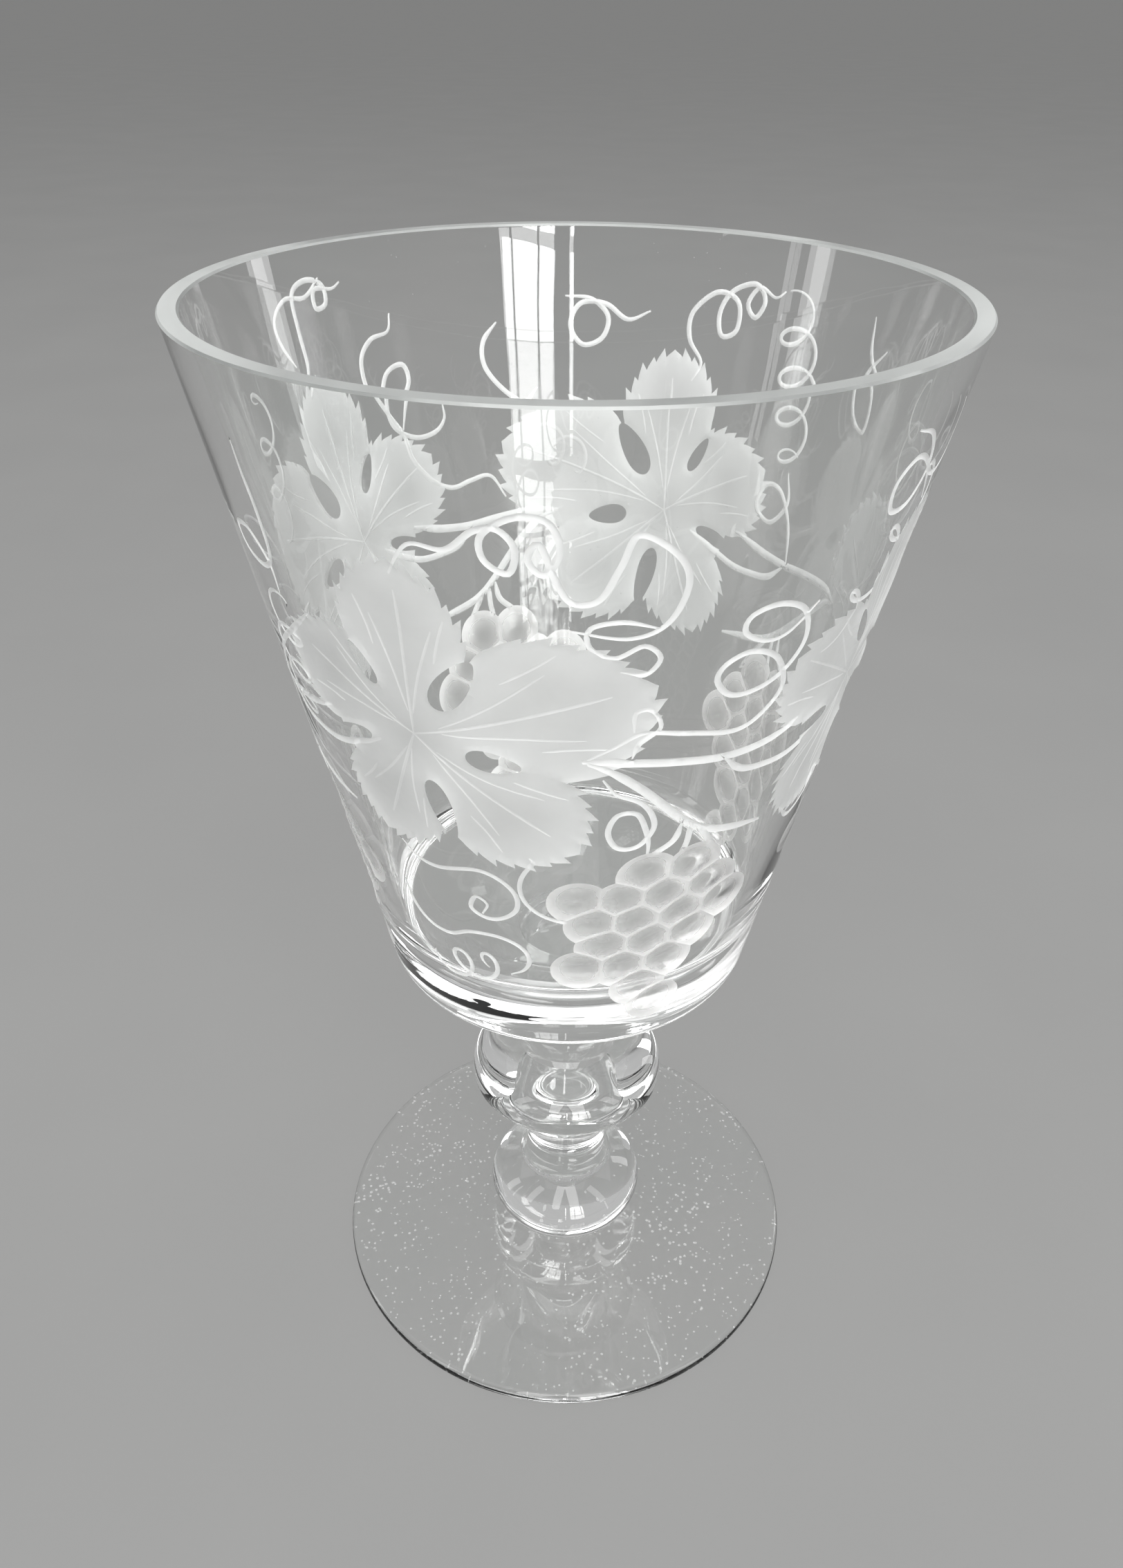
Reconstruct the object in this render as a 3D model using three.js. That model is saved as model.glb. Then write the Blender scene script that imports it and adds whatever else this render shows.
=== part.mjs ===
// Engraved crystal goblet: a flared bowl with a thick solid base, a stem of two
// solid knops with waisted necks above each of them, and a flat round foot.
// Millimetres, +Z up, origin at the centre of the foot's resting face.
// Every piece is a solid of revolution about Z. The pieces were made one by one
// and fused end to end, so each one meets the next on a flat round seam.
import * as THREE from "three";

// Driving dimensions
const HEIGHT = 244;                // whole goblet, foot to rim
const RIM_RADIUS = 70;             // outside of the bowl at the rim
const BOWL_TAPER = 0.2067;         // radius the bowl wall loses per mm of height
const RIM_THICKNESS = 3.7;         // ground rim, measured across
const BASE_THICKNESS = 4.6;        // wall where it meets the inner floor
const RIM_CHAMFER = 0.4;
const FLOOR_Z = 118;               // inner floor of the bowl, at its edge
const FLOOR_DISH = 0.8;            // how far the floor sinks at its middle
const FLOOR_FILLET = 5;
const CORNER_Z = 106.8;            // centre height of the bowl's lower outer rounding
const CORNER_RADIUS = 6;
const CORNER_END = THREE.MathUtils.degToRad(40);   // slope where the underside takes over
const UNDERSIDE_RADIUS = 55;       // shallow dome under the bowl

const FOOT_RADIUS = 59.2;
const FOOT_EDGE = 3;               // thickness at the rounded edge
const FOOT_MIDDLE = 4.5;           // thickness under the stem
const FOOT_FLAT_RADIUS = 23;       // the middle thickness reaches out to here

// A knop bulges to its radius at z, with a lower and an upper half of their own.
// power 2 is an ellipse, less is more pointed and more is squarer.
const LOWER_KNOP = {
  z: 13.5, radius: 20,
  lower: { height: 12.5, power: 2 }, upper: { height: 12.5, power: 2 },
};
const UPPER_KNOP = {
  z: 55.6, radius: 23.8,
  lower: { height: 14.8, power: 1.22 }, upper: { height: 10.4, power: 3.1 },
};
const SEAM_RADIUS = 12;            // knop tops and the middle of the bowl's underside
const NECK_BASE_RADIUS = 11;       // under the upper knop
const WAIST_RADIUS = 10.4;         // narrowest point of both necks
const NECK_FLARE = 3;              // power of the curve out to a neck's ends

const ROUND_SEGMENTS = 64;
const ARC_STEPS = 6;
const KNOP_STEPS = 8;
const NECK_STEPS = 10;

const point = (radius, z) => new THREE.Vector2(radius, z);

// Points on a circular arc in the radius-height plane, from one angle to another.
function arc(centre, radius, from, to, steps = ARC_STEPS) {
  const points = [];
  for (let i = 0; i <= steps; i++) {
    const angle = from + (to - from) * (i / steps);
    points.push(point(centre.x + radius * Math.cos(angle), centre.y + radius * Math.sin(angle)));
  }
  return points;
}

// Height of one half of a knop above or below its widest ring, at a given radius.
function knopRise(knop, half, radius) {
  return half.height * (1 - (radius / knop.radius) ** half.power) ** (1 / half.power);
}

// A knop's outline from its lower seam up to its upper seam.
function knopOutline(knop, lowerSeam, upperSeam) {
  const outline = [];
  const halves = [
    { half: knop.lower, seam: lowerSeam, side: -1 },
    { half: knop.upper, seam: upperSeam, side: 1 },
  ];
  for (const { half, seam, side } of halves) {
    const seamAngle = Math.acos((seam / knop.radius) ** (half.power / 2));
    const points = [];
    for (let i = 0; i <= KNOP_STEPS; i++) {
      const angle = seamAngle * (i / KNOP_STEPS);
      const radius = knop.radius * Math.cos(angle) ** (2 / half.power);
      points.push(point(radius, knop.z + side * knopRise(knop, half, radius)));
    }
    points[KNOP_STEPS] = point(seam, knop.z + side * knopRise(knop, half, seam));
    outline.push(...(side < 0 ? points.reverse() : points.slice(1)));
  }
  return outline;
}

// A waisted neck between two seams: it flares smoothly out to each end.
function neckOutline(lowerZ, lowerRadius, upperZ, upperRadius) {
  const points = [];
  for (let i = 0; i <= NECK_STEPS; i++) {
    const along = i / NECK_STEPS;
    const fromMiddle = Math.abs(2 * along - 1) ** NECK_FLARE;
    const endRadius = along < 0.5 ? lowerRadius : upperRadius;
    const radius = WAIST_RADIUS + (endRadius - WAIST_RADIUS) * fromMiddle;
    points.push(point(radius, lowerZ + (upperZ - lowerZ) * along));
  }
  return points;
}

// The foot: flat below, rounded at the edge, rising gently to a flat middle.
function footOutline() {
  const half = FOOT_EDGE / 2;
  const edge = arc(point(FOOT_RADIUS - half, half), half, -Math.PI / 2, Math.PI / 2);
  return [...edge, point(FOOT_FLAT_RADIUS, FOOT_MIDDLE)];
}

// The bowl's outside, from the seam under its middle up to the rim.
function bowlOutside() {
  const taperAngle = Math.atan(BOWL_TAPER);
  const wallRadius = (z) => RIM_RADIUS - (HEIGHT - z) * BOWL_TAPER;
  const corner = point(wallRadius(CORNER_Z) - CORNER_RADIUS / Math.cos(taperAngle), CORNER_Z);
  const reach = UNDERSIDE_RADIUS - CORNER_RADIUS;
  const dome = point(
    corner.x - reach * Math.sin(CORNER_END),
    corner.y + reach * Math.cos(CORNER_END),
  );
  const domeStart = Math.asin((SEAM_RADIUS - dome.x) / UNDERSIDE_RADIUS);
  const down = -Math.PI / 2;
  const underside = arc(dome, UNDERSIDE_RADIUS, down + domeStart, down + CORNER_END);
  const rounding = arc(corner, CORNER_RADIUS, down + CORNER_END, -taperAngle);
  underside[0].x = SEAM_RADIUS;
  return [...underside, ...rounding.slice(1), point(wallRadius(HEIGHT - RIM_CHAMFER), HEIGHT - RIM_CHAMFER)];
}

// The bowl's ground rim and inside, from the rim down to the middle of the floor.
function bowlInside() {
  const rimInner = RIM_RADIUS - RIM_THICKNESS;
  const floorInner = RIM_RADIUS - (HEIGHT - FLOOR_Z) * BOWL_TAPER - BASE_THICKNESS;
  const wallAngle = Math.atan2(rimInner - floorInner, HEIGHT - FLOOR_Z);
  // The fillet is tangent to the wall and to the floor.
  const filletZ = FLOOR_Z + FLOOR_FILLET;
  const filletX = floorInner + FLOOR_FILLET * (Math.tan(wallAngle) - 1 / Math.cos(wallAngle));
  const fillet = arc(point(filletX, filletZ), FLOOR_FILLET, -wallAngle, -Math.PI / 2);
  return [
    point(RIM_RADIUS - RIM_CHAMFER, HEIGHT),
    point(rimInner + RIM_CHAMFER, HEIGHT),
    point(rimInner, HEIGHT - RIM_CHAMFER),
    ...fillet,
    point(filletX / 2, FLOOR_Z - FLOOR_DISH * 0.75),
    point(0, FLOOR_Z - FLOOR_DISH),
  ];
}

const crystal = (color) =>
  new THREE.MeshStandardMaterial({ color, roughness: 0.05, metalness: 0, transparent: true, opacity: 0.35 });

// Turns an outline about Z. Its ends are carried straight in to the axis.
function turned(name, outline, color) {
  const closed = [...outline];
  if (closed[0].x > 0) closed.unshift(point(0, closed[0].y));
  if (closed.at(-1).x > 0) closed.push(point(0, closed.at(-1).y));
  const geometry = new THREE.LatheGeometry(closed, ROUND_SEGMENTS);
  geometry.rotateX(Math.PI / 2);
  const mesh = new THREE.Mesh(geometry, crystal(color));
  mesh.name = name;
  return mesh;
}

const lowerKnopTop = LOWER_KNOP.z + knopRise(LOWER_KNOP, LOWER_KNOP.upper, SEAM_RADIUS);
const upperKnopBase = UPPER_KNOP.z - knopRise(UPPER_KNOP, UPPER_KNOP.lower, NECK_BASE_RADIUS);
const upperKnopTop = UPPER_KNOP.z + knopRise(UPPER_KNOP, UPPER_KNOP.upper, SEAM_RADIUS);
const outside = bowlOutside();
const bowlSeamZ = outside[0].y;

// The lower knop stands on the foot, so its ring there is where it crosses the foot's top.
const footRise = (LOWER_KNOP.z - FOOT_MIDDLE) / LOWER_KNOP.lower.height;
const footSeamRadius =
  LOWER_KNOP.radius * (1 - footRise ** LOWER_KNOP.lower.power) ** (1 / LOWER_KNOP.lower.power);
const lowerKnop = knopOutline(LOWER_KNOP, footSeamRadius, SEAM_RADIUS);
lowerKnop[0].y = FOOT_MIDDLE;

const goblet = new THREE.Group();
goblet.add(
  turned("foot", footOutline(), 0xe9f0ee),
  turned("lower_knop", lowerKnop, 0xf2f6f7),
  turned("lower_neck", neckOutline(lowerKnopTop, SEAM_RADIUS, upperKnopBase, NECK_BASE_RADIUS), 0xe4ecee),
  turned("upper_knop", knopOutline(UPPER_KNOP, NECK_BASE_RADIUS, SEAM_RADIUS), 0xf2f6f7),
  turned("upper_neck", neckOutline(upperKnopTop, SEAM_RADIUS, bowlSeamZ, SEAM_RADIUS), 0xe4ecee),
  turned("bowl", [...outside, ...bowlInside()], 0xeef3f1),
);

export default goblet;
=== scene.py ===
"""Engraved crystal goblet: the looks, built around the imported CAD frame.

Millimetres inside this script, turned into metres when a mesh is made. Angles are
in degrees, anticlockwise from above, with 0 at +X and -90 at the front.
"""
import math

import bpy
import numpy as np
from mathutils import Matrix, Vector
from mathutils.geometry import delaunay_2d_cdt
from mathutils.kdtree import KDTree


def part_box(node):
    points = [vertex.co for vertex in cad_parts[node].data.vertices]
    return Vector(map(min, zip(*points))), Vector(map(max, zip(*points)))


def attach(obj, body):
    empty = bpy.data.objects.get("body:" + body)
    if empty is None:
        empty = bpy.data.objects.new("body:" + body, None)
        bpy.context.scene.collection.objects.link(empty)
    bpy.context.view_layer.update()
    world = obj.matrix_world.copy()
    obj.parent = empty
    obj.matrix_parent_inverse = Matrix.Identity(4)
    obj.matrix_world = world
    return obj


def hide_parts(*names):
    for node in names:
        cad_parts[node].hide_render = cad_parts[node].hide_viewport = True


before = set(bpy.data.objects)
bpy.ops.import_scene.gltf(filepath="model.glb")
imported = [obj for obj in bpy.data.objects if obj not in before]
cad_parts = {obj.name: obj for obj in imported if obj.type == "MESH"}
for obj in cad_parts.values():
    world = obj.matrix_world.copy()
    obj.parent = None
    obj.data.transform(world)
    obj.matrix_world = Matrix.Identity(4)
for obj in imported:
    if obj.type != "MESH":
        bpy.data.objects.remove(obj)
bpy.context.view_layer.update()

MM = 0.001


def low(node):
    """Lowest height of a CAD node, in millimetres."""
    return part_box(node)[0].z / MM


def high(node):
    """Highest height of a CAD node, in millimetres."""
    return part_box(node)[1].z / MM


def reach(node):
    """Largest radius of a CAD node, in millimetres."""
    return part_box(node)[1].x / MM


# ------------ the goblet's shape
HEIGHT = high("bowl")
BOWL_TAPER = 0.2067  # radius the bowl wall loses per mm of height
RIM_THICKNESS = 3.7
RIM_CHAMFER = 0.4
RIM_RADIUS = reach("bowl") + RIM_CHAMFER * BOWL_TAPER
BASE_THICKNESS = 4.6  # wall where it meets the inner floor
FLOOR_Z = 118
FLOOR_DISH = 0.8
FLOOR_FILLET = 5
CORNER_Z = 106.8  # centre of the bowl's lower outer rounding
CORNER_RADIUS = 6
CORNER_END = math.radians(40)  # how far the rounding goes, from straight down
UNDERSIDE_RADIUS = 55
SEAM_RADIUS = 12
NECK_BASE_RADIUS = 11
WAIST_RADIUS = 10.4
NECK_FLARE = 3
FOOT_EDGE = 3
FOOT_FLAT_RADIUS = 23  # the foot's top is level inside it, and falls outside it
FOOT_BLEND = 4  # width of the soft turn there
FOOT_DROP = 0.1  # how far the top has sunk at the turn's outer end
FOOT_REST_RADIUS = 30  # a ring of points half way out on the resting face
# A knop's z is the height of its widest ring, and each half has a rise and a power.
LOWER_KNOP = {"node": "lower_knop", "z": 13.5, "lower": (12.5, 2), "upper": (12.5, 2)}
UPPER_KNOP = {"node": "upper_knop", "z": 55.6, "lower": (14.8, 1.22), "upper": (10.4, 3.1)}

TAPER_ANGLE = math.atan(BOWL_TAPER)
COLUMNS = 240  # faces round every piece
STEM_STEPS = 33  # rings in half a knop, or in a neck


def wall_radius(height):
    """Outer radius of the bowl's straight wall."""
    return RIM_RADIUS - (HEIGHT - height) * BOWL_TAPER


def arc(centre, radius, start, end, steps):
    """Points on a circular arc in the radius-height plane."""
    angles = np.linspace(start, end, steps + 1)
    return [(centre[0] + radius * math.cos(a), centre[1] + radius * math.sin(a)) for a in angles]


def knop_outline(knop, lower_seam, upper_seam):
    """A knop from its lower to its upper seam radius, as two half ovals."""
    widest = reach(knop["node"])
    outline = []
    for side, (rise, power), seam in ((-1, knop["lower"], lower_seam), (1, knop["upper"], upper_seam)):
        end = math.acos((seam / widest) ** (power / 2))
        half = []
        for angle in np.linspace(0, end, STEM_STEPS):
            radius = widest * math.cos(angle) ** (2 / power)
            climb = rise * max(0.0, 1 - (radius / widest) ** power) ** (1 / power)
            half.append((radius, knop["z"] + side * climb))
        outline += half[::-1] if side < 0 else half[1:]
    outline[0] = (lower_seam, low(knop["node"]))
    outline[-1] = (upper_seam, high(knop["node"]))
    return outline


def neck_outline(node, lower_radius, upper_radius):
    """A waisted neck that flares out to each of its ends."""
    outline = []
    for along in np.linspace(0, 1, STEM_STEPS):
        end_radius = lower_radius if along < 0.5 else upper_radius
        flare = abs(2 * along - 1) ** NECK_FLARE
        radius = WAIST_RADIUS + (end_radius - WAIST_RADIUS) * flare
        outline.append((radius, low(node) + (high(node) - low(node)) * along))
    return outline


def foot_outline(seam_radius):
    """The foot, from its resting face round its edge to its seam with the lower knop."""
    half = FOOT_EDGE / 2
    edge = arc((reach("foot") - half, half), half, -math.pi / 2, math.pi / 2, 16)
    top = []
    for s in (0, 0.5, 1):
        radius = FOOT_FLAT_RADIUS + FOOT_BLEND * (0.5 - s)
        top.append((radius, high("foot") - FOOT_DROP * (1 - s) ** 2))
    return [(FOOT_REST_RADIUS, 0), *edge, *top, (seam_radius, high("foot"))]


def bowl_underside():
    """From the seam under the bowl's middle to the foot of its straight wall."""
    corner = (wall_radius(CORNER_Z) - CORNER_RADIUS / math.cos(TAPER_ANGLE), CORNER_Z)
    offset = UNDERSIDE_RADIUS - CORNER_RADIUS
    dome = (corner[0] - offset * math.sin(CORNER_END), corner[1] + offset * math.cos(CORNER_END))
    start = math.asin((SEAM_RADIUS - dome[0]) / UNDERSIDE_RADIUS)
    down = -math.pi / 2
    under = arc(dome, UNDERSIDE_RADIUS, down + start, down + CORNER_END, 24)
    rounding = arc(corner, CORNER_RADIUS, down + CORNER_END, -TAPER_ANGLE, 28)
    under[0] = (SEAM_RADIUS, low("bowl"))
    return under + rounding[1:]


def bowl_inside():
    """From the inner edge of the rim down to the middle of the inner floor."""
    rim_inner = RIM_RADIUS - RIM_THICKNESS
    floor_inner = wall_radius(FLOOR_Z) - BASE_THICKNESS
    slope = math.atan2(rim_inner - floor_inner, HEIGHT - FLOOR_Z)
    centre_x = floor_inner + FLOOR_FILLET * (math.tan(slope) - 1 / math.cos(slope))
    fillet = arc((centre_x, FLOOR_Z + FLOOR_FILLET), FLOOR_FILLET, -slope, -math.pi / 2, 12)
    top = (rim_inner, HEIGHT - RIM_CHAMFER)
    wall = [tuple(np.array(top) + (np.array(fillet[0]) - top) * s) for s in np.linspace(0, 1, 21)]
    floor = [(centre_x * s, FLOOR_Z - FLOOR_DISH * (1 - s * s)) for s in np.linspace(1, 0, 9)]
    return wall + fillet[1:-1] + floor


# ------------ flat pattern of the bowl's wall
# The straight wall is a cone, so it unrolls flat without stretching, and the engraving
# is drawn there in true millimetres. The flat pattern is cut at CUT_ANGLE, and a shape that
# crosses the cut is drawn at both ends of the pattern.
CUT_ANGLE = 13.5  # where few engraved lines cross
SEAM_MARGIN = 0.03  # a shape this close to the cut, in radians, counts as crossing it
CONE_SINE = math.sin(TAPER_ANGLE)
WALL_LOW = CORNER_Z - CORNER_RADIUS * math.sin(TAPER_ANGLE)
WALL_HIGH = HEIGHT - RIM_CHAMFER


def turn_of(angle):
    """Turn in the flat pattern, in radians, of an angle round the goblet."""
    return math.radians(angle - CUT_ANGLE - 180) * CONE_SINE


def unrolled(turn, height):
    """The flat point at a turn in the pattern and a height on the wall."""
    slant = wall_radius(height) / CONE_SINE
    return np.array([slant * math.sin(turn), slant * math.cos(turn)])


def flat(angle, height):
    """A point on the bowl's outer wall, in the flat pattern."""
    return unrolled(turn_of(angle), height)


def beside(angle, height, right, up):
    """The flat point that lies so many millimetres right of and above a place on the wall."""
    turn = turn_of(angle)
    across = np.array([math.cos(turn), -math.sin(turn)])
    slope = np.array([math.sin(turn), math.cos(turn)])
    return flat(angle, height) + right * across + up * slope


def repeats(points):
    """Copies of a flat shape, whole turns round the goblet apart, that lie on the flat pattern."""
    copies = []
    for whole in (-1, 0, 1):
        turn = 2 * math.pi * whole * CONE_SINE
        x = points[:, 0] * math.cos(turn) + points[:, 1] * math.sin(turn)
        y = points[:, 1] * math.cos(turn) - points[:, 0] * math.sin(turn)
        if (abs(np.arctan2(x, y)) < math.pi * CONE_SINE + SEAM_MARGIN).any():
            copies.append(np.column_stack([x, y]))
    return copies


def rolled(points, depth):
    """Flat points put back on the bowl, sunk by their depth, and the wall's normal at each."""
    slant = np.hypot(points[:, 0], points[:, 1])
    angle = np.arctan2(points[:, 0], points[:, 1]) / CONE_SINE + math.pi + math.radians(CUT_ANGLE)
    radius = slant * CONE_SINE
    height = HEIGHT - (RIM_RADIUS - radius) / BOWL_TAPER
    level = math.cos(TAPER_ANGLE)
    cosine, sine = np.cos(angle), np.sin(angle)
    normal = np.column_stack([cosine * level, sine * level, np.full(len(angle), -CONE_SINE)])
    place = np.column_stack([cosine * radius, sine * radius, height])
    return place - normal * depth[:, None], normal


# ------------ the engraving
STEP = 0.8  # spacing of points along an engraved line
LINE_DEPTH = 0.32  # of a groove, as a share of its width
LOOP_POINTS = 26  # in one loop of a coiled tendril
LOOP_SHARE = 0.75  # a loop's size along the coil, as a share of its size across


def spline(points):
    """A smooth line through the points, as closely spaced points."""
    points = [np.array(p, float) for p in points]
    points = [2 * points[0] - points[1], *points, 2 * points[-1] - points[-2]]
    line = []
    for before, start, end, after in zip(points, points[1:], points[2:], points[3:]):
        count = max(2, int(round(np.linalg.norm(end - start) / STEP)))
        for s in np.arange(count) / count:
            line.append(0.5 * (2 * start + (end - before) * s
                               + (2 * before - 5 * start + 4 * end - after) * s ** 2
                               + (3 * start - before - 3 * end + after) * s ** 3))
    line.append(points[-2])
    return np.array(line)


def ring(middle, radius, count):
    """Points on a circle in the flat pattern."""
    turns = np.arange(count) / count * 2 * math.pi
    return middle + radius * np.column_stack([np.cos(turns), np.sin(turns)])


def stroke(line, width, tip=0.35):
    """One wheel-cut line: its middle, and half its width at each point, thinner at both ends."""
    count = len(line)
    along = np.linspace(0, 1, count)
    taper = np.minimum(1, tip + (1 - tip) * np.minimum(along, 1 - along) * 7)
    return {"line": line, "half": width / 2 * taper}


def tendril(points, width=1.1):
    """A tendril through places given as (angle, height)."""
    return stroke(spline([flat(*p) for p in points]), width)


def corkscrew(start, end, radius, turns, width=1.0, phase=0):
    """A coiled tendril whose loops run from one place to another."""
    a, b = flat(*start), flat(*end)
    ahead = (b - a) / np.linalg.norm(b - a)
    side = np.array([-ahead[1], ahead[0]])
    line = []
    for s in np.linspace(0, 1, int(turns * LOOP_POINTS)):
        angle = math.radians(phase) + 2 * math.pi * turns * s
        size = radius * (0.75 + 0.25 * math.sin(math.pi * s))
        loop = LOOP_SHARE * ahead * math.cos(angle) + side * math.sin(angle)
        line.append(a + (b - a) * s + size * loop)
    return stroke(np.array(line), width)


# Each lobe of a vine leaf: heading from the leaf's middle, length, width, sideways bend.
LOBES = [(21, 42, 30, -4), (-44, 35, 26, 1), (-113, 28, 21, 0), (149, 27, 24, 2), (84, 34, 22, 1)]
LOBE_WIDEST = 0.57  # share of a lobe's length, where it is widest
LOBE_WAIST = 0.12  # its width near the leaf's middle, as a share of the widest
LOBE_SWELL = 3.2  # how late it widens
LEAF_HEART = 17  # radius within which the lobes are joined
# The egg-shaped gaps between the lobes: heading, how far out their middle is, length, width.
SINUSES = [
    (-11, 14.6, 9.5, 4.4), (53, 16, 13, 5.4), (-79, 16.5, 14, 4.4), (117, 15, 8.5, 2.8),
    (-162, 15, 11, 3.2),
]
TOOTH = 1.8  # how far a tooth stands out
TEETH = 7  # on each side of a lobe
# A tooth's edge: how far through the tooth, and the share of TOOTH that it stands out there.
TOOTH_EDGE = ((0.08, 0.0), (0.3, 0.28), (0.55, 0.5), (0.8, 0.75), (0.98, 1.0))
LEAF_DEPTH = 0.25  # at a leaf's edge
LEAF_BEVEL = 0.7  # width of the slope down to that depth
LEAF_HOLLOW = 0.7  # how much deeper the middle of a lobe is cut
HOLLOW_WIDTH = 5  # how far in from the edge the hollow is two thirds there
VEIN_WIDTH = 0.65
SIDE_VEIN_SHARE = 0.75  # a side vein's width, as a share of a middle vein's
VEIN_DEPTH = 0.8  # below the leaf, as a share of another line's depth
# Side veins of a lobe: where they start and end along it, and how far out at both ends.
SIDE_VEINS = [(0.14, 0.68, 0.04, 0.5), (0.5, 0.76, 0.5, 0.72)]


def lobe_place(lobe, along, out):
    """Point in a leaf's own millimetres, so far along a lobe and out from its middle line."""
    heading, length, _, bend = lobe
    angle = math.radians(heading)
    ahead = np.array([math.cos(angle), math.sin(angle)])
    side = np.array([-ahead[1], ahead[0]])
    return ahead * along + side * (out + bend * (along / length) ** 2)


def lobe_outline(lobe):
    """A lobe: narrow at the leaf's middle, round-shouldered, and toothed round its end."""
    _, length, width, _ = lobe
    edge = []
    for s in np.linspace(0.04, LOBE_WIDEST, 14):
        swell = math.sin(math.pi / 2 * s / LOBE_WIDEST) ** LOBE_SWELL
        edge.append((length * s, width / 2 * (LOBE_WAIST + (1 - LOBE_WAIST) * swell)))
    for tooth in range(TEETH):
        for part, rise in TOOTH_EDGE:
            turn = math.pi / 2 * (1 - (tooth + part) / TEETH)
            stand = rise * TOOTH * (0.75 + 0.4 * (tooth % 2))
            along = length * (LOBE_WIDEST + (1 - LOBE_WIDEST) * math.cos(turn))
            out = width / 2 * math.sin(turn) ** 1.1
            edge.append((along + stand * math.cos(0.6 * turn), out + stand * math.sin(0.6 * turn)))
    left = [lobe_place(lobe, along, out) for along, out in edge]
    right = [lobe_place(lobe, along, -out) for along, out in edge[:-1]]
    return left + right[::-1]


def sinus_outline(heading, middle, length, width):
    """An egg-shaped gap in a leaf, pointing away from the leaf's middle."""
    angle = math.radians(heading)
    ahead = np.array([math.cos(angle), math.sin(angle)])
    side = np.array([-ahead[1], ahead[0]])
    outline = []
    for a in np.linspace(0, 2 * math.pi, 28, endpoint=False):
        narrowing = 1 - 0.25 * math.cos(a)
        outline.append(ahead * (middle + length / 2 * math.cos(a))
                       + side * width / 2 * math.sin(a) * narrowing)
    return outline


def leaf(angle, height):
    """A vine leaf at a place on the wall: its lobes' outlines, the gaps in it, and its veins."""
    def put(p):
        return beside(angle, height, p[0], p[1])

    outlines = [ring(flat(angle, height), LEAF_HEART, 50)]
    veins = []
    gaps = [np.array([put(p) for p in sinus_outline(*sinus)]) for sinus in SINUSES]
    for lobe in LOBES:
        _, length, width, _ = lobe
        outlines.append(np.array([put(p) for p in lobe_outline(lobe)]))
        rib = [lobe_place(lobe, length * s, 0) for s in np.linspace(0, 0.86, 5)]
        veins.append(stroke(spline([put(p) for p in rib]), VEIN_WIDTH, 0.5))
        for start, end, start_out, end_out in SIDE_VEINS:
            for hand in (1, -1):
                line = [lobe_place(lobe, length * (start + (end - start) * t),
                                   hand * width / 2 * (start_out + (end_out - start_out) * t ** 1.3))
                        for t in (0, 0.5, 1)]
                veins.append(stroke(spline([put(p) for p in line]), VEIN_WIDTH * SIDE_VEIN_SHARE, 0.5))
    return outlines, gaps, veins


GRAPE_RADIUS = 5.9
GRAPE_DEPTH = 1.0
# Rows of a bunch from its top: how far down, and where its grapes lie across.
BUNCH = [
    (0, (-2, 7)), (7, (-14, -6, 2.5, 12)), (13.5, (-10.5, -3, 7, 16)), (20, (-8, 0.5, 9.5)),
    (27, (-12, -4, 5)), (34, (0,)), (40, (4,)),
]


def bunch(angle, height):
    """Middles of the grapes of a bunch that hangs from a place on the wall."""
    return [beside(angle, height, right, -down) for down, row in BUNCH for right in row]


# The same spray of leaf, vine and grapes comes four times round the bowl.
LEAF_ANGLES = (-117, -29, 67, 148)
SPRAY_TURN = 88  # the turn to the next leaf that the vines and bunches are drawn for
LEAF_HEIGHT = 184.5
BUNCH_TURN = 45  # a bunch hangs this far on from its leaf
BUNCH_TOP = 155


def vines(leaf_angle, next_angle):
    """The vine from one leaf to the next, and the stems of the grapes under it."""
    share = (next_angle - leaf_angle) / SPRAY_TURN

    def along(points, width):
        return tendril([(leaf_angle + turn * share, height) for turn, height in points], width)

    return [
        along([(29, 183), (36, 183), (45, 182), (54, 181), (62, 181.5), (70, 183.5)], 1.8),
        along([(54, 180.5), (58, 177), (63, 176), (69, 176), (75, 178), (81, 181)], 1.5),
        along([
            (30, 182.5), (34, 181), (39, 177), (43, 173), (48, 168), (52, 165), (57, 163), (68, 161),
        ], 1.8),
        along([(52, 165), (55, 161), (59, 155)], 1.4),
        along([(48, 167), (47, 163), (43, 160), (41, 157), (40, 152)], 1.4),
        along([(50, 166), (50, 162), (49, 158)], 1.3),
    ]


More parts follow.
